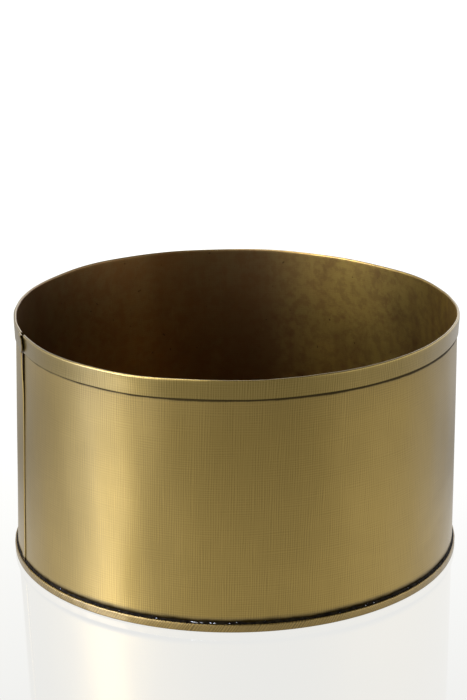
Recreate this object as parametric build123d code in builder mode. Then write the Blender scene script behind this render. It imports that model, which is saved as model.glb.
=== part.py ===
from build123d import *
import math
import os

# Round planter pot in thin brass sheet, put together the way a tinsmith does it: a wall sheet
# rolled into a cylinder and closed by a grooved lock seam, its top edge hemmed outward, and a
# base pan whose edge is knocked up with the wall's foot flange in a double seam. Solder seals
# the double seam from outside and the lock seam from inside.
# Frame: origin at the centre of the underside, +Z up, the front towards -Y. Millimetres.

# Driving dimensions
wall_diameter = 254.0  # outside of the plain wall
pot_height = 140.0
gauge = 0.45  # thickness of the brass sheet
seam_clearance = 0.05  # between the folded layers of a seam
hem_height = 10.2  # the rim's folded band, from its rounded top to its cut edge
hem_thickness = 1.7  # across the rounded top fold
double_seam_height = 4.5  # the band round the foot
pan_corner_radius = 0.7  # middle of the sheet, where the pan's floor turns up
lock_seam_width = 5.3  # the raised ridge, from fold to fold
lock_seam_azimuth = 202.0  # degrees from +X: on the left, 68 degrees round from the front
joggle_run = 2.3  # how far round the wall one sheet end takes to step up over the other
hook_tip_gap = 0.2  # a hook's cut edge stops this far short of the other hook's fold
notch_margin = 0.4  # the hem and the foot flange stop this far from the lock seam
solder_climb = 1.5  # how far the base solder climbs the wall above the double seam
solder_spread = 0.75  # how far it spreads out over the top of the double seam
solder_hollow = 0.17  # how far its concave face sinks in
solder_gap = 0.01  # between the solder and the sheet it lies on
solder_wrap = 165.0  # degrees round the double seam's fold where the base solder's toe ends
groove_mouth = 1.2  # width of the solder in the lock seam's groove, at the inside of the wall
groove_root = 0.36  # and at its bottom

# Sheet levels, each at the middle of its thickness
wall_outer = wall_diameter / 2
half_gauge = gauge / 2
wall_middle = wall_outer - half_gauge
wall_inner = wall_outer - gauge
layer_pitch = gauge + seam_clearance
fold_radius = layer_pitch  # of a sheet folded round one other layer

# Hem at the rim
hem_fold_radius = (hem_thickness - gauge) / 2
hem_fold_height = pot_height - hem_thickness / 2
hem_leaf_top = wall_middle + 2 * hem_fold_radius
hem_leaf_foot = wall_middle + layer_pitch

# Double seam at the foot, from the wall outward: pan leg, foot flange, pan rim
pan_leg_radius = wall_middle + layer_pitch
flange_radius = wall_middle + 2 * layer_pitch
pan_rim_radius = wall_middle + 3 * layer_pitch
flange_fold_height = gauge + seam_clearance + half_gauge + fold_radius
pan_fold_height = double_seam_height - half_gauge - fold_radius
solder_top = double_seam_height + solder_climb  # the lock seam is trimmed flat below this

# Lock seam, in millimetres round the wall from its middle. The sheet end that comes from the
# front turns back at under_fold, and the other end steps up over it and turns at over_fold.
over_fold = lock_seam_width / 2 - fold_radius - half_gauge
under_fold = seam_clearance - over_fold
joggle_start = under_fold - joggle_run
groove_middle = under_fold - 0.45 * joggle_run
hem_end = lock_seam_width / 2 + notch_margin
hem_start = joggle_start - notch_margin


def seam_angle(run):
    """The azimuth in degrees, run millimetres round the wall from the lock seam's middle."""
    return lock_seam_azimuth + math.degrees(run / wall_middle)


def around(radius, run):
    """The point at this radius, run millimetres round the wall from the lock seam's middle."""
    angle = math.radians(seam_angle(run))
    return (radius * math.cos(angle), radius * math.sin(angle))


def heading(run, turn):
    """The direction round the wall at this run: turn is 1 with rising azimuth, -1 against."""
    angle = math.radians(seam_angle(run) + 90 * turn)
    return (math.cos(angle), math.sin(angle))


def layer(number):
    """The middle radius of a lock-seam layer, from 1 at the wall to 4 on the outside."""
    return wall_middle + (number - 1) * layer_pitch


def upright_plane(azimuth):
    """A plane through the pot's axis, with X outward at this azimuth and Y up."""
    angle = math.radians(azimuth)
    outward = (math.cos(angle), math.sin(angle), 0)
    return Plane((0, 0, 0), x_dir=outward, z_dir=(outward[1], -outward[0], 0))


with BuildPart() as wall_sheet:
    # One path is the sheet's whole horizontal section: from the tip of the under hook to its
    # fold, all the way round the pot, up the joggle, over the seam and back inside the hook.
    with BuildSketch(Plane.XY.offset(flange_fold_height)):
        with BuildLine():
            under_tip = seam_angle(over_fold - hook_tip_gap)
            under_turn = seam_angle(under_fold)
            over_turn = seam_angle(over_fold)
            over_tip = seam_angle(under_fold + hook_tip_gap)
            CenterArc((0, 0), layer(3), under_tip, under_turn - under_tip)
            ThreePointArc(
                around(layer(3), under_fold),
                around(layer(2), under_fold - fold_radius),
                around(layer(1), under_fold),
            )
            CenterArc((0, 0), layer(1), under_turn, 360 + seam_angle(joggle_start) - under_turn)
            joggle_middle = around(layer(2.5), joggle_start + joggle_run / 2)
            TangentArc(
                around(layer(1), joggle_start), joggle_middle, tangent=heading(joggle_start, 1)
            )
            TangentArc(
                around(layer(4), under_fold), joggle_middle, tangent=heading(under_fold, -1)
            )
            CenterArc((0, 0), layer(4), under_turn, over_turn - under_turn)
            ThreePointArc(
                around(layer(4), over_fold),
                around(layer(3), over_fold + fold_radius),
                around(layer(2), over_fold),
            )
            CenterArc((0, 0), layer(2), over_turn, over_tip - over_turn)
            offset(amount=half_gauge, side=Side.BOTH)
        make_face()
    extrude(amount=hem_fold_height - flange_fold_height)

    # Below the base solder the ridge is trimmed back to the plain wall, to enter the pan.
    with BuildSketch():
        Circle(wall_outer + 4 * layer_pitch)
        Circle(wall_outer, mode=Mode.SUBTRACT)
    extrude(amount=solder_top, mode=Mode.SUBTRACT)

    # The hem and the foot flange go round the pot from one side of the lock seam to the other.
    with BuildSketch(upright_plane(seam_angle(hem_end))):
        with BuildLine():
            rim = CenterArc(
                (wall_middle + hem_fold_radius, hem_fold_height), hem_fold_radius, 0, 180
            )
            leaf_middle = (
                (hem_leaf_top + hem_leaf_foot) / 2,
                (hem_fold_height + pot_height - hem_height) / 2,
            )
            leaf = TangentArc(rim @ 0, leaf_middle, tangent=(0, -1))
            TangentArc(
                leaf_middle, (hem_leaf_foot, pot_height - hem_height), tangent=leaf % 1
            )
            offset(amount=half_gauge, side=Side.BOTH)
        make_face()
        with BuildLine():
            turn = CenterArc((pan_leg_radius, flange_fold_height), fold_radius, 180, 180)
            Line(turn @ 1, (flange_radius, pan_fold_height))
            offset(amount=half_gauge, side=Side.BOTH)
        make_face()
    revolve(axis=Axis.Z, revolution_arc=360 + seam_angle(hem_start) - seam_angle(hem_end))

with BuildPart() as base_pan:
    with BuildSketch(Plane.XZ):
        with BuildLine():
            floor = Line((0, half_gauge), (pan_rim_radius - pan_corner_radius, half_gauge))
            corner = JernArc(floor @ 1, floor % 1, pan_corner_radius, 90)
            rise = Line(corner @ 1, (pan_rim_radius, pan_fold_height))
            fold = JernArc(rise @ 1, rise % 1, fold_radius, 180)
            Line(fold @ 1, (pan_leg_radius, flange_fold_height))
            offset(amount=half_gauge, side=Side.BOTH)
        make_face()
        with Locations((-half_gauge, half_gauge)):
            Rectangle(gauge, gauge, mode=Mode.SUBTRACT)
    revolve(axis=Axis.Z)

# The solder's section has straight sides, so that it meshes exactly, and its bed on the fold is
# drawn round the fold, touching it at both ends and in the middle. The ring's surfaces stay in
# four equal patches, so that it meshes evenly all the way round.
bed_radius = fold_radius + half_gauge + solder_gap
bed_start = 90 + math.degrees((flange_radius - wall_outer - solder_spread) / fold_radius)
bed_step = (solder_wrap - bed_start) / 4
bed_corner_radius = bed_radius / math.cos(math.radians(bed_step))


def on_bed(steps, radius):
    """The point this far from the middle of the pan's fold, this many steps round the bed."""
    angle = math.radians(bed_start + steps * bed_step)
    return (flange_radius + radius * math.cos(angle), pan_fold_height + radius * math.sin(angle))


with BuildPart() as base_solder:
    for quarter in range(4):
        with BuildSketch(upright_plane(90 * quarter)):
            with BuildLine():
                hollow = SagittaArc(
                    (wall_outer, solder_top),
                    on_bed(0, bed_radius),
                    solder_hollow,
                    mode=Mode.PRIVATE,
                )
                Polyline(
                    hollow @ 0,
                    hollow @ (1 / 3),
                    hollow @ (2 / 3),
                    hollow @ 1,
                    on_bed(1, bed_corner_radius),
                    on_bed(3, bed_corner_radius),
                    on_bed(4, bed_radius),
                    (wall_outer, on_bed(4, bed_radius)[1]),
                    close=True,
                )
            make_face()
        revolve(axis=Axis.Z, revolution_arc=90, clean=False)

with BuildPart() as seam_solder:
    with BuildSketch(Plane.XY.offset(gauge + seam_clearance)):
        with BuildLine():
            Polyline(
                around(wall_inner, groove_middle - groove_mouth / 2),
                around(wall_inner, groove_middle + groove_mouth / 2),
                around(wall_outer - solder_gap, groove_middle + groove_root / 2),
                around(wall_outer - solder_gap, groove_middle - groove_root / 2),
                close=True,
            )
        make_face()
    extrude(amount=hem_fold_height - gauge - seam_clearance)

wall_sheet.part.label = "wall_sheet"
base_pan.part.label = "base_pan"
base_solder.part.label = "base_solder"
seam_solder.part.label = "seam_solder"

os.makedirs("parts", exist_ok=True)
export_step(wall_sheet.part, "parts/wall_sheet.step")
export_step(base_pan.part, "parts/base_pan.step")
export_step(base_solder.part, "parts/base_solder.step")
export_step(seam_solder.part, "parts/seam_solder.step")
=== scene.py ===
import math

import bpy
import numpy as np
from mathutils import Matrix, Vector


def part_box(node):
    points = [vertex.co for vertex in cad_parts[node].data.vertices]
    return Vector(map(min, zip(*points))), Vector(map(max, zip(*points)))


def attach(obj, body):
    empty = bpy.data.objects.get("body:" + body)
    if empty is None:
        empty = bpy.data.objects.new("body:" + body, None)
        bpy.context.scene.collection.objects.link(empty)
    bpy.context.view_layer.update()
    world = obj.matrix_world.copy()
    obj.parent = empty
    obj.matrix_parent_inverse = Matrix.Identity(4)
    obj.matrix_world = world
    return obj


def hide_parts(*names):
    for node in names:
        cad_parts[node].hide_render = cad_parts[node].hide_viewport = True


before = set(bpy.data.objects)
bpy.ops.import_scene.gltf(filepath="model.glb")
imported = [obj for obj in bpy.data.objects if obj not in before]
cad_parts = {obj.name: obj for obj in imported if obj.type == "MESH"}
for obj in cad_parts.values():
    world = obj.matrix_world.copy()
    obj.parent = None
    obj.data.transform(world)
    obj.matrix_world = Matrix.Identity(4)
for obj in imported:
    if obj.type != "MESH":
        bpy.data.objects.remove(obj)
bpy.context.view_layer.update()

# A brass planter pot made of thin sheet. Lengths below are in millimetres in the CAD frame, and
# a mesh is turned into metres when it is made. "run" is the distance round the wall from the
# middle of the lock seam, "level" the distance outward from the middle of the plain wall sheet.
MM = 0.001

# The sheet and its seams, as the CAD folds them
GAUGE = 0.45
PITCH = 0.5  # from one folded layer to the next
HEM_HEIGHT = 10.2
HEM_FOLD = 0.625  # radius of the rim's fold, at the middle of the sheet
LOCK_WIDTH = 5.3
JOGGLE = 2.3
TIP_GAP = 0.2
NOTCH = 0.4
GROOVE = -0.45  # where the lock seam's inner groove lies, in joggle runs from the under fold
PAN_CORNER = 0.7

# Places, from the frame
RIM_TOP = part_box("wall_sheet")[1][2] / MM
BAND_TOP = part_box("base_pan")[1][2] / MM
PAN_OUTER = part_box("base_pan")[1][0] / MM
SOLDER_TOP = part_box("base_solder")[1][2] / MM
SOLDER_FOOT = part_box("base_solder")[0][2] / MM
SOLDER_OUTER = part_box("base_solder")[1][0] / MM
WALL = PAN_OUTER - 3 * PITCH - GAUGE / 2
AROUND = 2 * math.pi * WALL

OVER_FOLD = LOCK_WIDTH / 2 - PITCH - GAUGE / 2
UNDER_FOLD = 0.05 - OVER_FOLD
JOGGLE_START = UNDER_FOLD - JOGGLE
HEM_END = LOCK_WIDTH / 2 + NOTCH
GROOVE_RUN = UNDER_FOLD + GROOVE * JOGGLE
groove_low, groove_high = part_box("seam_solder")
SEAM = math.atan2(
    groove_low[1] + groove_high[1], groove_low[0] + groove_high[0]
) - GROOVE_RUN / WALL

HEM_TOP = RIM_TOP - HEM_FOLD - GAUGE / 2  # the height of the rim fold's centre
FLANGE_FOLD = GAUGE * 1.5 + 0.05 + PITCH
PAN_FOLD = BAND_TOP - GAUGE / 2 - PITCH

HEM_STAND = 0.2  # how far the hem's cut edge springs off the wall
# How the hand-rolled wall strays from a true cylinder, all of it growing from foot to rim
OVAL = ((2, 3.3, 3.69), (3, 1.5, 0.13))  # waves round the rim, millimetres, phase in radians
RIM_TILT = 0.55
SEAM_LEAN = 4.1  # the seam's foot lies this far back round the wall from its top
HEM_PAST = 3.4  # the hem's end reaches this far past the ridge's fold
HEM_PAST_RUN = 2.5  # the stretch of the ridge over which it draws out
HEM_PAST_LIFT = 0.08  # how far it lifts off the ridge for each millimetre that it reaches
HOOK_BACK = 3.0  # how far the ridge's fold draws back below the hem
HOOK_BACK_RUN = 5.5
HOOK_BACK_FROM, HOOK_BACK_TO = 104.0, 130.0  # heights
SEAM_PRESS = (0.45, 0.85)  # the spacing of the lock seam's layers, at foot and rim, over PITCH
LOOSE_FROM, LOOSE_TO = 70.0, 134.0  # heights
CORNER_CLIP = 9.0  # the top of the upper sheet end's hook is snipped off over this height
CORNER_RISE = 0.7  # the under hook's top stands this far above the centre of the rim's fold
FLANGE_STOP = 2.0  # the foot flange stops this far before the joggle


def smooth(value, low, high):
    """0 below low, 1 above high, and an S between."""
    t = np.clip((value - low) / (high - low), 0.0, 1.0)
    return t * t * (3 - 2 * t)


def ripples(azimuth, z, seed, orders, tall, count=10):
    """Waves that close round the pot: orders is their range of counts, tall their height in z."""
    rng = np.random.default_rng(seed)
    total = 0.0
    for _ in range(count):
        order = rng.integers(orders[0], orders[1])
        slope = rng.uniform(-1, 1) * 2 * math.pi / tall
        total = total + np.sin(order * azimuth + slope * z + rng.uniform(0, 2 * math.pi))
    return total / math.sqrt(count)


def hand_shape(azimuth, z):
    """(outward, upward) strain of the wall from a true cylinder, in millimetres."""
    rise = np.clip(z / RIM_TOP, 0, 1)
    outward = sum(size * np.cos(order * azimuth - phase) for order, size, phase in OVAL)
    outward = outward * rise
    outward = outward + 0.22 * smooth(z, 8, 40) * ripples(azimuth, z, 3, (4, 13), 220)
    outward = outward + 0.05 * smooth(z, 6, 20) * ripples(azimuth, z, 5, (14, 40), 90)
    upward = RIM_TILT * rise * np.cos(azimuth)
    upward = upward + 0.16 * smooth(z, 90, 139) * ripples(azimuth, 0 * z, 8, (4, 15), 100)
    return outward, upward


def place(azimuth, radius, z):
    """Points in millimetres on the strained wall, whose seam leans."""
    azimuth = azimuth - SEAM_LEAN * (1 - z / RIM_TOP) / WALL
    outward, upward = hand_shape(azimuth, z)
    r = radius + outward
    return np.stack([r * np.cos(azimuth), r * np.sin(azimuth), z + upward], axis=-1)


def arc(start, end, count):
    """Angles along an arc, both ends included."""
    return np.linspace(math.radians(start), math.radians(end), count)


def new_piece(name, points, faces, replaced=(), materials=(), face_material=None, uv=None):
    """A mesh object from points in millimetres. It rides on the pot's one body."""
    mesh = bpy.data.meshes.new(name)
    mesh.from_pydata((np.asarray(points) * MM).tolist(), [], faces)
    for material in materials:
        mesh.materials.append(material)
    if face_material is not None:
        mesh.polygons.foreach_set("material_index", face_material)
    if uv is not None:
        layer = mesh.uv_layers.new(name="sheet")
        corners = np.empty(len(mesh.loops), dtype=np.int32)
        mesh.loops.foreach_get("vertex_index", corners)
        layer.data.foreach_set("uv", np.asarray(uv, dtype=np.float32)[corners].ravel())
    mesh.validate()
    mesh.shade_smooth()
    mesh.set_sharp_from_angle(angle=math.radians(50))
    piece = bpy.data.objects.new(name, mesh)
    bpy.context.scene.collection.objects.link(piece)
    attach(piece, "root")
    if replaced:
        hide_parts(*replaced)
    return piece


def sheet_solid(middle, cells, flat, closed=False, capped=False):
    """Thickens a grid of points on the middle of a sheet to its gauge, both sides and cut edges.

    middle is columns x rows x 3, cells says which of its squares are metal, and flat holds each
    point's place on the flat sheet. closed joins the last column to the first, and capped shuts
    the first row with a fan. Returns points, faces, flat places, and each face's side and row.
    """
    columns, rows = middle.shape[:2]
    if closed:
        ring = np.concatenate([middle[-1:], middle, middle[:1]])
        across = (ring[2:] - ring[:-2]) / 2
    else:
        across = np.gradient(middle, axis=0)
    along = np.gradient(middle, axis=1)
    normal = np.cross(along, across)
    normal /= np.linalg.norm(normal, axis=-1, keepdims=True)
    sides = [middle + normal * GAUGE / 2, middle - normal * GAUGE / 2]
    used = np.zeros((columns, rows), bool)
    for c, r in np.argwhere(cells):
        d = (c + 1) % columns
        used[[c, d, c, d], [r, r, r + 1, r + 1]] = True
    index = np.full((columns, rows), -1)
    index[used] = np.arange(used.sum())
    count = int(used.sum())
    points = np.concatenate([side[used] for side in sides])
    places = np.concatenate([flat[used], flat[used]])
    faces, side_of, row_of = [], [], []

    def add(face, side, row):
        faces.append([int(i) for i in face])
        side_of.append(side)
        row_of.append(row)

    def metal(c, r):
        c = c % columns if closed else c
        return 0 <= c < cells.shape[0] and 0 <= r < cells.shape[1] and cells[c, r]

    for c, r in np.argwhere(cells):
        d = (c + 1) % columns
        a, b, e, f = index[c, r], index[d, r], index[d, r + 1], index[c, r + 1]
        add((f, e, b, a), 0, r)
        add((a + count, b + count, e + count, f + count), 1, r)
        if not metal(c - 1, r):
            add((a, a + count, f + count, f), 2, r)
        if not metal(c + 1, r):
            add((e, e + count, b + count, b), 2, r)
        if not metal(c, r - 1) and not (capped and r == 0):
            add((b, b + count, a + count, a), 2, r)
        if not metal(c, r + 1):
            add((f, f + count, e + count, e), 2, r)
    if capped:
        for side, offset in enumerate((0, count)):
            hub = len(points)
            points = np.concatenate([points, sides[side][:, 0].mean(axis=0, keepdims=True)])
            places = np.concatenate([places, flat[:, 0].mean(axis=0, keepdims=True)])
            for c in range(columns):
                a, b = index[c, 0] + offset, index[(c + 1) % columns, 0] + offset
                add((a, b, hub) if side == 0 else (b, a, hub), side, 0)
    return points, faces, places, np.array(side_of), np.array(row_of)


# ---------------------------------------------------------------- materials


class Nodes:
    """A short way to write a node material."""

    def __init__(self, name):
        self.material = bpy.data.materials.new(name)
        self.material.use_nodes = True
        self.tree = self.material.node_tree
        self.shader = self.tree.nodes["Principled BSDF"]

    def node(self, kind, **settings):
        made = self.tree.nodes.new(kind)
        for name, value in settings.items():
            setattr(made, name, value)
        return made

    def feed(self, socket, value):
        if isinstance(value, bpy.types.NodeSocket):
            self.tree.links.new(value, socket)
        else:
            socket.default_value = value

    def math(self, operation, *values, clamp=False):
        made = self.node("ShaderNodeMath", operation=operation, use_clamp=clamp)
        for socket, value in zip(made.inputs, values):
            self.feed(socket, value)
        return made.outputs[0]

    def remap(self, value, low, high, to_low=0.0, to_high=1.0):
        made = self.node("ShaderNodeMapRange", interpolation_type="SMOOTHSTEP")
        for socket, number in zip(made.inputs, (value, low, high, to_low, to_high)):
            self.feed(socket, number)
        return made.outputs[0]

    def mix(self, amount, first, second, blend="MIX"):
        made = self.node("ShaderNodeMix", data_type="RGBA", blend_type=blend)
        self.feed(made.inputs["Factor"], amount)
        self.feed(made.inputs["A"], first)
        self.feed(made.inputs["B"], second)
        return made.outputs["Result"]

    def stretch(self, vector, scale, turn=0.0):
        made = self.node("ShaderNodeMapping")
        self.feed(made.inputs["Vector"], vector)
        made.inputs["Rotation"].default_value = (0, 0, turn)
        made.inputs["Scale"].default_value = scale
        return made.outputs[0]

    def noise(self, vector, scale=1.0, detail=3.0, rough=0.55, distortion=0.0):
        made = self.node("ShaderNodeTexNoise")
        self.feed(made.inputs["Vector"], vector)
        made.inputs["Scale"].default_value = scale
        made.inputs["Detail"].default_value = detail
        made.inputs["Roughness"].default_value = rough
        made.inputs["Distortion"].default_value = distortion
        return made.outputs[0]

    def sheet(self):
        """Metres along and across the flat sheet, before it was rolled."""
        return self.node("ShaderNodeUVMap", uv_map="sheet").outputs[0]

    def height(self):
        """Metres above the surface that the pot stands on."""
        place = self.node("ShaderNodeTexCoord").outputs["Object"]
        parts = self.node("ShaderNodeSeparateXYZ")
        self.feed(parts.inputs[0], place)
        return parts.outputs[2]

    def place(self):
        return self.node("ShaderNodeTexCoord").outputs["Object"]

    def bump(self, height, strength, distance):
        made = self.node("ShaderNodeBump")
        made.inputs["Strength"].default_value = strength
        made.inputs["Distance"].default_value = distance
        self.feed(made.inputs["Height"], height)
        self.feed(self.shader.inputs["Normal"], made.outputs[0])


FLECK = (0.02, 0.012, 0.006, 1)
# Near-black brown for crevices: the colour of patina and of painted shade.
PATINA_AND_SHADE = (0.012, 0.007, 0.001, 1)


def brushed_brass(name, light, dark, pitch, lengthwise, crosswise, roughness, turn=0.0,
                  mottle=0.4, stain=None, patina_and_painted_shade=(), lacquer=0.35, painted_lit_side=None):
    """Antiqued brass sheet under a thin clear lacquer.

    pitch is the spacing of the fine grain in metres, and lengthwise and crosswise weigh its two
    sets of lines. light and dark are the worn-back and the toned metal, and mottle is how far broad
    clouds and not the lines decide between them. patina_and_painted_shade lists darkened crevices,
    some by patina, some by painted shade and some by both: a way, up the pot or round the sheet,
    the places on it where the darkening is darkest and gone, how ragged its edge is, and how dark
    it gets. lacquer is the weight of the clear coat, and painted_lit_side gives the light and dark
    tones of painted light on the side towards +X, which is coloured lighter as if more light fell
    on it."""
    n = Nodes(name)
    flat = n.stretch(n.sheet(), (1, 1, 1), turn)
    parts = n.node("ShaderNodeSeparateXYZ")
    n.feed(parts.inputs[0], flat)

    def grain(along, wander, fade):
        phase = n.math("MULTIPLY", along, 2 * math.pi / pitch)
        shift = n.math("MULTIPLY", n.noise(n.stretch(flat, wander), detail=2.0), 11.0)
        wave = n.math("SINE", n.math("ADD", phase, shift))
        strength = n.remap(n.noise(n.stretch(flat, fade)), 0.3, 0.7, 0.15, 1.0)
        return n.math("MULTIPLY", wave, strength)

    ribs = grain(parts.outputs[0], (210, 22, 1), (130, 60, 1))
    weft = grain(parts.outputs[1], (22, 210, 1), (60, 130, 1))
    hair = n.noise(n.stretch(flat, (2600, 45, 1)), detail=1.0)
    cloud = n.noise(n.stretch(flat, (10, 14, 1)), detail=4.0, rough=0.6, distortion=0.6)
    lines = n.math("ADD", n.math("MULTIPLY", ribs, lengthwise), n.math("MULTIPLY", weft, crosswise))
    lines = n.math("ADD", lines, n.math("SUBTRACT", hair, 0.5))
    clouded = n.remap(cloud, 0.3, 0.7, 0.0, mottle)
    tone = n.math("ADD", n.math("MULTIPLY", lines, 1 - mottle), clouded)
    tone = n.math("ADD", tone, (1 - mottle) / 2, clamp=True)
    colour = n.mix(tone, dark, light)
    rough = n.remap(cloud, 0.25, 0.75, roughness + 0.03, roughness - 0.03)
    metal, gloss, coat = 1.0, 0.5, lacquer
    # Painted light: the side towards +X is coloured lighter, as if more light fell on it.
    if painted_lit_side:
        side = n.node("ShaderNodeSeparateXYZ")
        n.feed(side.inputs[0], n.place())
        lit_side_tone = n.mix(tone, painted_lit_side[1], painted_lit_side[0])
        colour = n.mix(n.remap(side.outputs[0], 0.01, 0.075), colour, lit_side_tone)
    if stain:
        blots = n.noise(n.stretch(flat, (34, 34, 1)), detail=6.0, rough=0.65, distortion=0.8)
        fine = n.noise(n.stretch(flat, (150, 150, 1)), detail=5.0, rough=0.65)
        streaks = n.noise(n.stretch(flat, (38, 6, 1)), detail=3.0)
        flecks = n.noise(n.stretch(flat, (260, 260, 1)), detail=2.0)
        for where, low, high, most, over in (
            (blots, 0.48, 0.72, 0.6, stain), (fine, 0.42, 0.62, 0.4, stain),
            (streaks, 0.48, 0.66, 0.4, stain), (flecks, 0.70, 0.76, 0.6, FLECK),
        ):
            colour = n.mix(n.remap(where, low, high, 0.0, most), colour, over)
    edge = n.noise(n.stretch(n.sheet(), (55, 240, 1)), detail=5.0, rough=0.7)
    along_sheet = n.node("ShaderNodeSeparateXYZ")
    n.feed(along_sheet.inputs[0], n.sheet())
    for way, black, clear, rag, most in patina_and_painted_shade:
        # Darkening in a crevice, darkest at one place and gone at the other: patina in some
        # crevices, painted shade in others.
        level = n.height() if way == "up" else along_sheet.outputs[0]
        level = n.math("ADD", level, n.math("MULTIPLY", n.math("SUBTRACT", edge, 0.5), rag))
        patina_shade_amount = n.remap(level, black, clear, 1.0, 0.0)
        patina_shade_amount = n.math("MULTIPLY", n.math("MULTIPLY", patina_shade_amount, patina_shade_amount), most)
        colour = n.mix(patina_shade_amount, colour, PATINA_AND_SHADE)
        clear_of = n.math("SUBTRACT", 1.0, patina_shade_amount)
        rough = n.math("ADD", rough, n.math("MULTIPLY", patina_shade_amount, 0.2))
        metal = n.math("MULTIPLY", metal, clear_of)
        gloss = n.math("MULTIPLY", gloss, clear_of)
        coat = n.math("MULTIPLY", coat, clear_of)
    n.feed(n.shader.inputs["Base Color"], colour)
    n.feed(n.shader.inputs["Roughness"], rough)
    n.feed(n.shader.inputs["Metallic"], metal)
    n.feed(n.shader.inputs["Specular IOR Level"], gloss)
    n.feed(n.shader.inputs["Coat Weight"], coat)
    n.shader.inputs["Coat Roughness"].default_value = 0.2
    n.bump(lines, 0.28, 0.00003)
    return n.material


def blackened_solder(name):
    """Dark patina over soft solder, with specks worn bright."""
    n = Nodes(name)
    where = n.place()
    lump = n.noise(where, scale=420, detail=5.0, rough=0.65)
    speck = n.noise(where, scale=900, detail=2.0)
    bright = n.remap(speck, 0.72, 0.76)
    colour = n.mix(n.remap(lump, 0.35, 0.7), (0.003, 0.002, 0.001, 1), (0.014, 0.010, 0.004, 1))
    n.feed(n.shader.inputs["Base Color"], n.mix(bright, colour, (0.45, 0.47, 0.48, 1)))
    n.feed(n.shader.inputs["Metallic"], n.math("MULTIPLY", bright, 0.9))
    n.shader.inputs["Specular IOR Level"].default_value = 0.03
    n.feed(n.shader.inputs["Roughness"], n.remap(lump, 0.3, 0.7, 0.62, 0.38))
    n.bump(lump, 0.6, 0.0003)
    return n.material


def bright_solder(name):
    """A drop of solder left bare: grey, a little dull, with a wrinkled skin."""
    n = Nodes(name)
    skin = n.noise(n.place(), scale=1500, detail=3.0)
    n.feed(n.shader.inputs["Base Color"], n.mix(skin, (0.30, 0.31, 0.32, 1), (0.62, 0.63, 0.64, 1)))
    n.feed(n.shader.inputs["Roughness"], n.remap(skin, 0.3, 0.7, 0.2, 0.4))
    n.shader.inputs["Metallic"].default_value = 0.9
    n.bump(skin, 0.3, 0.0001)
    return n.material


BRASS_LIGHT = (0.372, 0.256, 0.067, 1)
BRASS_DARK = (0.268, 0.185, 0.047, 1)
GRAIN = 0.00128
FOOT_SOOT = ("up", 0.0060, 0.0102, 0.0022, 1.0)
# Painted shade: the wall beside the lock seam's ridge, and the crevice under the ridge's fold, are
# darkened where shade falls.
SEAM_PAINTED_SHADE = ("round", (LOCK_WIDTH / 2 + 0.3) * MM, (LOCK_WIDTH / 2 + 1.5) * MM, 0.0004, 1.0)
FOLD_PAINTED_SHADE = ("round", (AROUND + OVER_FOLD + 1.6) * MM, (AROUND + OVER_FOLD + 1.1) * MM, 0.0002, 1.0)
# The height of the hem's cut edge, from which the darkening hangs down the wall.
HEM_SHADE_EDGE = (RIM_TOP - HEM_HEIGHT) * MM
outside_brass = brushed_brass(
    "outside_brass", BRASS_LIGHT, BRASS_DARK, GRAIN, 0.9, 0.50, 0.34, mottle=0.4,
    patina_and_painted_shade=[FOOT_SOOT, SEAM_PAINTED_SHADE, FOLD_PAINTED_SHADE,
           # Patina and painted shade: a dark line on the wall just under the hem's edge.
           ("up", HEM_SHADE_EDGE - 0.0011, HEM_SHADE_EDGE - 0.0024, 0.0014, 0.9),
           # Painted shade: the wall darkened a little for 30 mm below the hem.
           ("up", HEM_SHADE_EDGE, HEM_SHADE_EDGE - 0.03, 0.004, 0.1)],
)
inside_brass = brushed_brass(
    "inside_brass", (0.222, 0.144, 0.056, 1), (0.163, 0.101, 0.038, 1), GRAIN, 0.15, 0.3, 0.38,
    mottle=0.5, stain=(0.17, 0.08, 0.025, 1),
    # Painted light: lighter tones on the inside towards +X, standing in for light falling there.
    painted_lit_side=((0.45, 0.30, 0.062, 1), (0.34, 0.22, 0.045, 1)),
)
hem_brass = brushed_brass(
    "hem_brass", (0.335, 0.235, 0.060, 1), (0.225, 0.156, 0.032, 1), GRAIN, 0.8, 0.3, 0.34,
    mottle=0.35, lacquer=0.6,
)
foot_brass = brushed_brass(
    "foot_brass", (0.34, 0.23, 0.065, 1), (0.16, 0.11, 0.030, 1), GRAIN, 0.6, 0.15, 0.46,
    turn=math.radians(35), mottle=0.25, lacquer=0.6,
)
under_brass = brushed_brass(
    "under_brass", (0.30, 0.20, 0.05, 1), (0.20, 0.125, 0.03, 1), GRAIN, 0.2, 0.4, 0.45,
    mottle=0.7, stain=(0.12, 0.06, 0.02, 1),
)
dark_solder = blackened_solder("dark_solder")
bare_solder = bright_solder("bare_solder")


# ---------------------------------------------------------------- the wall sheet


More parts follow.
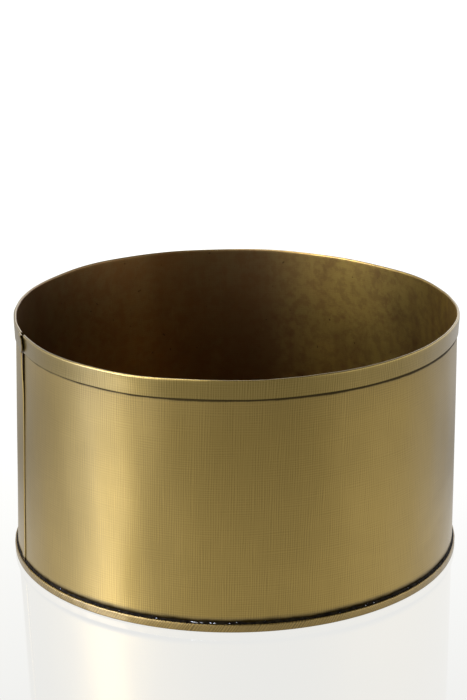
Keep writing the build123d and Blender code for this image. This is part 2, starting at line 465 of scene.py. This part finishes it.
def wall_path():
    """The sheet's horizontal path as runs, levels and each column's part of the seam: the under
    hook, the plain wall, the sheet end that steps up over the under hook, and its own hook."""
    turn = arc(0, 180, 9)
    step = arc(0, 1, 8) / arc(0, 1, 8)[-1]
    lift = 3 * PITCH
    bend = ((JOGGLE / 2) ** 2 + (lift / 2) ** 2) / lift
    sweep = step * math.asin(JOGGLE / 2 / bend)
    rise = bend * (1 - np.cos(sweep))
    wall_runs = np.arange(HEM_END, AROUND + JOGGLE_START - NOTCH - 2, 1.6)
    parts = [
        ("under", np.linspace(OVER_FOLD - TIP_GAP, UNDER_FOLD, 5)[:-1], np.full(4, 2 * PITCH)),
        ("under", UNDER_FOLD - PITCH * np.sin(turn[:-1]), PITCH + PITCH * np.cos(turn[:-1])),
        ("plain", np.linspace(UNDER_FOLD, HEM_END, 7)[:-1], np.zeros(6)),
        ("plain", wall_runs, np.zeros(len(wall_runs))),
        ("plain", AROUND + JOGGLE_START - np.array([2.0, 1.5, 1.0, 0.5]), np.zeros(4)),
        ("over", AROUND + JOGGLE_START + bend * np.sin(sweep), rise),
        ("over", AROUND + UNDER_FOLD - bend * np.sin(sweep[-2::-1]), lift - rise[-2::-1]),
        ("over", AROUND + np.linspace(UNDER_FOLD, OVER_FOLD, 6)[1:], np.full(5, lift)),
        ("hook", AROUND + OVER_FOLD + PITCH * np.sin(turn[1:]), PITCH * (2 + np.cos(turn[1:]))),
        ("hook", AROUND + np.linspace(OVER_FOLD, UNDER_FOLD + TIP_GAP, 5)[1:], np.full(4, PITCH)),
    ]
    runs = np.concatenate([p[1] for p in parts])
    levels = np.concatenate([p[2] for p in parts])
    kinds = np.concatenate([np.full(len(p[1]), p[0]) for p in parts])
    return runs, levels, kinds


def wall_profile():
    """The sheet's vertical path, from the hem's cut edge over the rim and down to the tip of the
    foot flange: levels, heights, and the row where the rim's fold, the wall, the foot start."""
    tip = RIM_TOP - HEM_HEIGHT
    drop = np.linspace(0, 1, 10)
    flare = (drop + drop * drop * (3 - 2 * drop)) / 2
    hem_level = HEM_STAND + PITCH + (2 * HEM_FOLD - HEM_STAND - PITCH) * flare
    crest = arc(0, 180, 15)
    heights = np.concatenate([
        HEM_TOP - np.linspace(1.2, 12, 9), np.linspace(HEM_TOP - 16, 13, 24),
        np.linspace(11.5, FLANGE_FOLD, 9),
    ])
    turn = arc(180, 360, 9)
    levels = np.concatenate([
        hem_level, HEM_FOLD + HEM_FOLD * np.cos(crest[1:]), np.zeros(len(heights)),
        PITCH + PITCH * np.cos(turn[1:]), [2 * PITCH, 2 * PITCH],
    ])
    heights = np.concatenate([
        tip + (HEM_TOP - tip) * drop, HEM_TOP + HEM_FOLD * np.sin(crest[1:]), heights,
        FLANGE_FOLD + PITCH * np.sin(turn[1:]), [(FLANGE_FOLD + PAN_FOLD) / 2, PAN_FOLD - 0.1],
    ])
    fold_row = len(drop) - 1
    wall_row = fold_row + len(crest) - 1
    foot_row = wall_row + 9 + 24 + 9
    return levels, heights, fold_row, wall_row, foot_row


def make_wall():
    runs, sheet_levels, kinds = wall_path()
    row_levels, row_heights, fold_row, wall_row, foot_row = wall_profile()
    # Each column's own top and foot: the seam is trimmed above the base solder, and the hook of
    # the sheet end that lies over it is snipped off below the rim.
    hook = kinds == "hook"
    under = kinds == "under"
    seam = hook | under | (kinds == "over")
    clip_from, clip_to = np.flatnonzero(hook)[[0, 4]]
    clipped = HEM_TOP - CORNER_CLIP * smooth(np.arange(len(runs)), clip_from, clip_to)
    top = np.where(hook, clipped, HEM_TOP)
    top = np.where(under | (runs < HEM_END - 0.01), HEM_TOP + CORNER_RISE, top)
    foot = FLANGE_FOLD + (SOLDER_TOP - FLANGE_FOLD) * np.maximum(
        smooth(runs, AROUND + JOGGLE_START - FLANGE_STOP, AROUND + JOGGLE_START),
        1 - smooth(runs, UNDER_FOLD, 0.5),
    )
    share = (row_heights[wall_row:foot_row + 1] - FLANGE_FOLD) / (HEM_TOP - FLANGE_FOLD)
    z = np.tile(row_heights, (len(runs), 1))
    z[:, wall_row:foot_row + 1] = foot[:, None] + share * (top - foot)[:, None]
    hem_foot = row_heights[0]
    hem_share = (row_heights[:fold_row + 1] - hem_foot) / (HEM_TOP - hem_foot)
    hem_tall = (np.minimum(top, HEM_TOP) - hem_foot)[:, None]
    z[:, :fold_row + 1] = hem_foot + hem_share * hem_tall
    z[:, fold_row + 1:wall_row] += np.minimum(top - HEM_TOP, 0)[:, None]

    press = SEAM_PRESS[0] + (SEAM_PRESS[1] - SEAM_PRESS[0]) * smooth(z, LOOSE_FROM, LOOSE_TO)
    spread = np.where(seam[:, None], sheet_levels[:, None] * press, 0)
    # The hem's end reaches past the ridge's fold, and is cut by hand, slanting at both corners.
    in_hem = np.arange(len(row_heights))[None, :] < wall_row
    ridge_fold = AROUND + OVER_FOLD
    past = smooth(runs, ridge_fold - HEM_PAST_RUN, ridge_fold)[:, None]
    leaf = np.clip((z - hem_foot) / (HEM_TOP - hem_foot), 0, 1)
    reach = HEM_PAST * smooth(leaf, -0.05, 0.3) * (1 - 0.8 * smooth(leaf, 0.8, 1.0))
    reach = reach + 0.35 * np.sin(z * 1.7) + 0.25 * np.sin(z * 4.1 + 1)
    reach = past * reach * in_hem
    # Below the hem the ridge's fold draws back, and the crevice beside it is wider.
    drawn = np.where(hook, 1, smooth(runs, ridge_fold - HOOK_BACK_RUN, ridge_fold))[:, None]
    back = HOOK_BACK * drawn * smooth(z, HOOK_BACK_FROM, HOOK_BACK_TO) * ~in_hem
    azimuth = SEAM + (runs[:, None] + reach - back) / WALL
    levels = spread + row_levels[None, :] + HEM_PAST_LIFT * reach
    middle = place(azimuth, WALL + levels, z)

    cells = np.zeros((len(runs) - 1, len(row_heights) - 1), bool)
    start = runs[:-1] + 0.001
    kind = kinds[1:]
    plain = (start > HEM_END) & (kind != "hook")
    cells[:, wall_row:foot_row] = True
    cells[plain, :wall_row] = True
    cells[plain & (start < AROUND + JOGGLE_START - FLANGE_STOP), foot_row:] = True

    # Places on the flat sheet. Along it, they count from the seam's middle like runs.
    along_path = np.concatenate([[0], np.cumsum(np.hypot(np.diff(runs), np.diff(sheet_levels)))])
    first = np.flatnonzero(kinds == "plain")[0]
    along_path += runs[first] - along_path[first]
    down = np.concatenate([[0], np.cumsum(np.hypot(np.diff(row_levels), np.diff(row_heights)))])
    flat = np.stack(np.meshgrid(along_path, -down, indexing="ij"), axis=-1) * MM
    points, faces, places, side, row = sheet_solid(middle, cells, flat)
    # The sheet's inner side shows outside from the rim's crest down the hem.
    crest = (fold_row + wall_row) // 2 + 3
    surface = np.where(row < wall_row, 2, 0)
    surface = np.where((side == 1) & (row >= crest), 1, surface)
    return new_piece(
        "wall_sheet_detailed", points, faces, ["wall_sheet"],
        [outside_brass, inside_brass, hem_brass], surface, places,
    )


# ---------------------------------------------------------------- the base pan and the solder


def make_base():
    corner = arc(270, 360, 7)
    fold = arc(0, 180, 11)
    rim, leg = WALL + 3 * PITCH, WALL + PITCH
    floor = np.concatenate([np.linspace(1.5, 120, 30), np.linspace(122, rim - PAN_CORNER, 5)])
    radii = np.concatenate([
        floor, rim - PAN_CORNER + PAN_CORNER * np.cos(corner[1:]), [rim],
        (rim + leg) / 2 + (rim - leg) / 2 * np.cos(fold), [leg, leg],
    ])
    rise = GAUGE / 2 + PAN_CORNER
    heights = np.concatenate([
        np.full(len(floor), GAUGE / 2), rise + PAN_CORNER * np.sin(corner[1:]),
        [(rise + PAN_FOLD) / 2], PAN_FOLD + PITCH * np.sin(fold),
        [(PAN_FOLD + FLANGE_FOLD) / 2, FLANGE_FOLD],
    ])
    azimuth = np.linspace(0, 2 * math.pi, 540, endpoint=False)[:, None] + 0 * radii
    z = heights + 0 * azimuth
    r = radii + 0 * azimuth
    # The dressed band waves a little, and the floor has the soft ripple of thin sheet.
    band = smooth(r, rim - PAN_CORNER, rim) * smooth(z, 0.6, 2.0)
    fine = 0.07 * ripples(azimuth, z, 21, (30, 90), 20)
    r = r + band * (fine + 0.05 * ripples(azimuth, z, 22, (6, 20), 20))
    z = z + band * smooth(z, 2.5, 4.5) * 0.10 * ripples(azimuth, 0 * z, 23, (10, 60), 20)
    panned = smooth(r, 5, 40) * (1 - smooth(r, 95, 118))
    z = z + 0.12 * panned * (1 + ripples(azimuth, r, 24, (2, 7), 90) / 2)
    middle = np.stack([r * np.cos(azimuth), r * np.sin(azimuth), z], axis=-1)
    cells = np.ones((len(azimuth), len(radii) - 1), bool)
    out = np.concatenate([[0], np.cumsum(np.hypot(np.diff(radii), np.diff(heights)))])
    on_floor = np.arange(len(radii)) < len(floor)
    flat = np.where(
        on_floor[None, :, None],
        np.stack([r * np.cos(azimuth), r * np.sin(azimuth)], axis=-1),
        np.stack([azimuth * rim, out + 0 * azimuth], axis=-1),
    ) * MM
    points, faces, places, side, row = sheet_solid(middle, cells, flat, closed=True, capped=True)
    floor_row = len(floor) - 1
    kind = np.where(row >= floor_row, 0, np.where(side == 0, 1, 2))
    return new_piece(
        "base_pan_detailed", points, faces, ["base_pan"],
        [foot_brass, inside_brass, under_brass], kind, places,
    )


def tube(rings, ends=False):
    """Points and faces of a closed section swept through rings: an array of sections."""
    count, around = rings.shape[:2]
    faces = []
    for i in range(count - 1 if ends else count):
        j = (i + 1) % count
        for k in range(around):
            m = (k + 1) % around
            faces.append((i * around + k, j * around + k, j * around + m, i * around + m))
    if ends:
        faces.append(tuple(range(around)))
        faces.append(tuple(reversed(range((count - 1) * around, count * around))))
    return rings.reshape(-1, 3), faces


def make_base_solder():
    """The dark fillet in the crevice above the foot band: lumpy, higher here and lower there."""
    azimuth = np.linspace(0, 2 * math.pi, 900, endpoint=False)
    wall = WALL + GAUGE / 2 + 0.01
    spread = SOLDER_OUTER - wall
    climb = SOLDER_TOP - BAND_TOP
    bed_angle = arc(92, 160, 5)
    bed_radius = PITCH + GAUGE / 2 + 0.015
    bed = [
        (WALL + 2 * PITCH + bed_radius * math.cos(a), PAN_FOLD + bed_radius * math.sin(a))
        for a in bed_angle
    ]
    section = [(wall, SOLDER_FOOT), (wall, BAND_TOP), (wall, SOLDER_TOP - 0.5), (wall, SOLDER_TOP)]
    for t in (0.12, 0.28, 0.45, 0.62, 0.8):
        section.append((wall + spread * t, BAND_TOP + climb * (1 - t) ** 2.4))
    section = np.array(section + bed)
    top = smooth(section[:, 1], BAND_TOP + 0.3, SOLDER_TOP)
    free = ((np.arange(len(section)) >= 4) & (np.arange(len(section)) < 9)).astype(float)
    wave = 0.34 * ripples(azimuth, 0, 31, (20, 120), 30) - 0.1
    lump = 0.10 * ripples(azimuth, 0, 32, (60, 330), 30)
    z = section[:, 1] + top * wave[:, None] + 0.5 * free * lump[:, None]
    r = section[:, 0] + free * lump[:, None]
    a = azimuth[:, None] + 0 * z
    r = r + hand_shape(a, z)[0] * (section[:, 0] < wall + 0.3)
    rings = np.stack([r * np.cos(a), r * np.sin(a), z], axis=-1)
    points, faces = tube(rings)
    return new_piece(
        "base_solder_detailed", points, faces, ["base_solder"], [dark_solder]
    )


def make_seam_solder():
    """The run of solder in the lock seam's groove, inside the pot."""
    foot, top = groove_low[2] / MM, groove_high[2] / MM
    heights = np.linspace(foot + 0.1, top, 110)
    azimuth = SEAM + GROOVE_RUN / WALL
    half = 0.6 + 0.09 * np.sin(heights * 0.71) + 0.06 * np.sin(heights * 1.9 + 1)
    belly = 0.08 + 0.05 * np.sin(heights * 0.43 + 2)
    inner, outer = WALL - GAUGE / 2, WALL + GAUGE / 2 - 0.02
    section = (
        (-1.0, inner), (-0.45, None), (0.45, None), (1.0, inner), (0.3, outer), (-0.3, outer),
    )
    rings = []
    for z, w, b in zip(heights, half, belly):
        ring = []
        for across, radius in section:
            level = inner - b if radius is None else radius
            ring.append(place(np.array(azimuth + across * w / WALL), level, np.array(z)))
        rings.append(ring)
    points, faces = tube(np.array(rings), ends=True)
    return new_piece(
        "seam_solder_detailed", points, faces, ["seam_solder"], [dark_solder]
    )


def make_solder_drops():
    """Bare drops of solder that show bright in the dark fillet near the front."""
    drops = ((260.3, 1.9, 0.42), (262.0, 0.8, 0.3), (264.2, 0.6, 0.34), (265.1, 0.7, 0.3),
             (268.6, 0.4, 0.22), (251.0, 0.5, 0.24), (305.5, 0.5, 0.24), (118.0, 0.9, 0.3))
    points, faces = [], []
    for seed, (degrees, length, height) in enumerate(drops):
        rng = np.random.default_rng(seed)
        first = len(points)
        rows, columns = 7, 12
        for i in range(rows):
            latitude = math.pi * (i + 0.5) / rows
            for k in range(columns):
                longitude = 2 * math.pi * k / columns
                size = 1 + rng.uniform(-0.12, 0.12)
                run = length * size * math.sin(latitude) * math.cos(longitude)
                outward = 0.30 * size * math.sin(latitude) * math.sin(longitude)
                a = math.radians(degrees) + run / WALL
                r = WALL + GAUGE / 2 + 0.32 + outward
                z = BAND_TOP + 0.55 + height * size * math.cos(latitude) - run * 0.12
                points.append((r * math.cos(a), r * math.sin(a), z))
        for i in range(rows - 1):
            for k in range(columns):
                m = (k + 1) % columns
                low, high = first + i * columns, first + (i + 1) * columns
                faces.append((low + k, high + k, high + m, low + m))
        faces.append(tuple(first + k for k in range(columns)))
        faces.append(tuple(first + (rows - 1) * columns + k for k in reversed(range(columns))))
    return new_piece("solder_drops", points, faces, (), [bare_solder])


make_wall()
make_base()
make_base_solder()
make_seam_solder()
make_solder_drops()


# ---------------------------------------------------------------- the studio


# How bright the studio is round the pot: degrees from the camera's side, positive to its right,
# brightness and coolness.
ROOM = (
    (-180, 1.7, 0), (-171, 1.5, 0), (-162, 0.4, 0.2), (-146, 0.9, 0.2), (-124, 1.1, 0.3),
    (-108, 1.5, 0.4),
    (-94, 3.7, 0.9), (-80, 9.9, 1.2), (-70, 7.4, 1.1), (-60, 5.2, 0.9), (-50, 4.3, 0.6),
    (-38, 2.5, 0.2), (-20, 1.2, 0), (0, 0.65, 0), (28, 0.57, 0), (46, 1.1, 0), (62, 2.4, 0.1),
    (84, 2.5, 0.1), (110, 2.1, 0.1),
    (138, 1.7, 0.2), (166, 1.4, 0.2), (180, 1.7, 0),
)
BRIGHTEST = 12.0


def room_brightness(tree, place):
    """A socket with ROOM's light in the direction of place, as a share of BRIGHTEST, and
    place's own parts."""
    parts = tree.nodes.new("ShaderNodeSeparateXYZ")
    tree.links.new(place, parts.inputs[0])
    front = tree.nodes.new("ShaderNodeMath")
    front.operation = "MULTIPLY"
    front.inputs[1].default_value = -1
    tree.links.new(parts.outputs["Y"], front.inputs[0])
    turn = tree.nodes.new("ShaderNodeMath")
    turn.operation = "ARCTAN2"
    tree.links.new(parts.outputs["X"], turn.inputs[0])
    tree.links.new(front.outputs[0], turn.inputs[1])
    share = tree.nodes.new("ShaderNodeMapRange")
    share.inputs["From Min"].default_value = -math.pi
    share.inputs["From Max"].default_value = math.pi
    tree.links.new(turn.outputs[0], share.inputs[0])
    ramp = tree.nodes.new("ShaderNodeValToRGB")
    ramp.color_ramp.interpolation = "EASE"
    stops = ramp.color_ramp.elements
    while len(stops) < len(ROOM):
        stops.new(0.5)
    for stop, (degrees, bright, cool) in zip(stops, ROOM):
        stop.position = (degrees + 180) / 360
        share_of = bright / BRIGHTEST
        stop.color = (share_of * (1 - 0.1 * cool), share_of, share_of * (1 + 0.5 * cool), 1)
    tree.links.new(share.outputs[0], ramp.inputs[0])
    return ramp.outputs["Color"], parts


def make_floor():
    """A glossy pale floor, lit so evenly that it shows no shadow. The camera sees it near white
    with a faint reflection of the pot; the brass sees the studio's lights pooled on it."""
    n = Nodes("floor_paint")
    tree = n.tree
    n.shader.inputs["Base Color"].default_value = (0, 0, 0, 1)
    n.shader.inputs["Roughness"].default_value = 0.05
    n.shader.inputs["Emission Color"].default_value = (1.0, 1.0, 0.975, 1)
    n.shader.inputs["Emission Strength"].default_value = 0.81
    away = n.node("ShaderNodeVectorMath", operation="LENGTH")
    tree.links.new(n.place(), away.inputs[0])
    glow = n.node("ShaderNodeEmission")
    glow.inputs["Color"].default_value = (1.0, 1.0, 0.98, 1)
    spot = n.node("ShaderNodeSeparateXYZ")
    n.feed(spot.inputs[0], n.place())
    near = n.remap(away.outputs["Value"], 0.14, 0.48, 0.62, 0.27)
    front = n.remap(spot.outputs["Y"], -0.05, 0.15, 1.0, 0.35)
    far = n.remap(away.outputs["Value"], 0.22, 0.42, 0.0, 0.22)
    back = n.remap(spot.outputs["Y"], -0.05, 0.15)
    strength = n.math("ADD", n.math("MULTIPLY", near, front), n.math("MULTIPLY", far, back))
    n.feed(glow.inputs["Strength"], strength)
    sheen = n.node("ShaderNodeBsdfGlossy")
    sheen.inputs["Color"].default_value = (0.22, 0.22, 0.217, 1)
    sheen.inputs["Roughness"].default_value = 0.12
    pool = n.node("ShaderNodeAddShader")
    tree.links.new(glow.outputs[0], pool.inputs[0])
    tree.links.new(sheen.outputs[0], pool.inputs[1])
    path = n.node("ShaderNodeLightPath")
    pick = n.node("ShaderNodeMixShader")
    tree.links.new(path.outputs["Is Camera Ray"], pick.inputs[0])
    tree.links.new(pool.outputs[0], pick.inputs[1])
    tree.links.new(n.shader.outputs[0], pick.inputs[2])
    tree.links.new(pick.outputs[0], tree.nodes["Material Output"].inputs["Surface"])
    bpy.ops.mesh.primitive_plane_add(size=14, location=(0, 0, 0))
    floor = bpy.context.object
    floor.name = "floor"
    floor.data.materials.append(n.material)


def softbox(name, azimuth, elevation, distance, width, height, power, colour=(1, 1, 1)):
    """A rectangular light aimed at the pot. azimuth runs clockwise seen from above, from -Y."""
    a, e = math.radians(azimuth), math.radians(elevation)
    away = Vector((-math.sin(a) * math.cos(e), -math.cos(a) * math.cos(e), math.sin(e)))
    light = bpy.data.lights.new(name, "AREA")
    light.shape = "RECTANGLE"
    light.size, light.size_y = width, height
    light.energy = power
    light.color = colour
    lamp = bpy.data.objects.new(name, light)
    bpy.context.scene.collection.objects.link(lamp)
    lamp.location = Vector((0, 0, 0.07)) + away * distance
    lamp.rotation_mode = "QUATERNION"
    lamp.rotation_quaternion = away.to_track_quat("Z", "Y")
    return lamp


def make_world():
    """The studio round the pot: bright near the horizon, dim overhead, white to the camera."""
    world = bpy.data.worlds.new("studio")
    bpy.context.scene.world = world
    world.use_nodes = True
    tree = world.node_tree
    tree.nodes.clear()
    place = tree.nodes.new("ShaderNodeTexCoord")
    bright, parts = room_brightness(tree, place.outputs["Generated"])
    above = tree.nodes.new("ShaderNodeMapRange")
    above.interpolation_type = "SMOOTHSTEP"
    tree.links.new(parts.outputs["Z"], above.inputs[0])
    for socket, value in zip(list(above.inputs)[1:5], (0.28, 0.65, BRIGHTEST, 0.07 * BRIGHTEST)):
        socket.default_value = value
    room = tree.nodes.new("ShaderNodeBackground")
    tree.links.new(above.outputs[0], room.inputs["Strength"])
    tree.links.new(bright, room.inputs["Color"])
    seen = tree.nodes.new("ShaderNodeBackground")
    seen.inputs["Color"].default_value = (1, 1, 1, 1)
    seen.inputs["Strength"].default_value = 1.05
    path = tree.nodes.new("ShaderNodeLightPath")
    pick = tree.nodes.new("ShaderNodeMixShader")
    out = tree.nodes.new("ShaderNodeOutputWorld")
    tree.links.new(path.outputs["Is Camera Ray"], pick.inputs[0])
    tree.links.new(room.outputs[0], pick.inputs[1])
    tree.links.new(seen.outputs[0], pick.inputs[2])
    tree.links.new(pick.outputs[0], out.inputs["Surface"])


def make_camera():
    camera = bpy.data.cameras.new("camera")
    camera.lens = 93.83
    camera.sensor_width = 36
    seen_from = bpy.data.objects.new("camera", camera)
    bpy.context.scene.collection.objects.link(seen_from)
    seen_from.matrix_world = (
        Matrix.Translation((0, -0.9916, 0.4315))
        @ Matrix.Rotation(math.radians(90 - 17.737), 4, "X")
        @ Matrix.Rotation(math.radians(-0.4465), 4, "Z")
    )
    bpy.context.scene.camera = seen_from


make_floor()
make_world()
make_camera()
softbox("key", 66, 28, 1.6, 0.5, 0.6, 14)
softbox("rim", 100, 68, 1.6, 0.8, 0.8, 18)
softbox("top", 0, 80, 1.6, 1.4, 1.4, 1.5)

bpy.context.scene.view_settings.view_transform = "Standard"
bpy.context.scene.view_settings.look = "None"
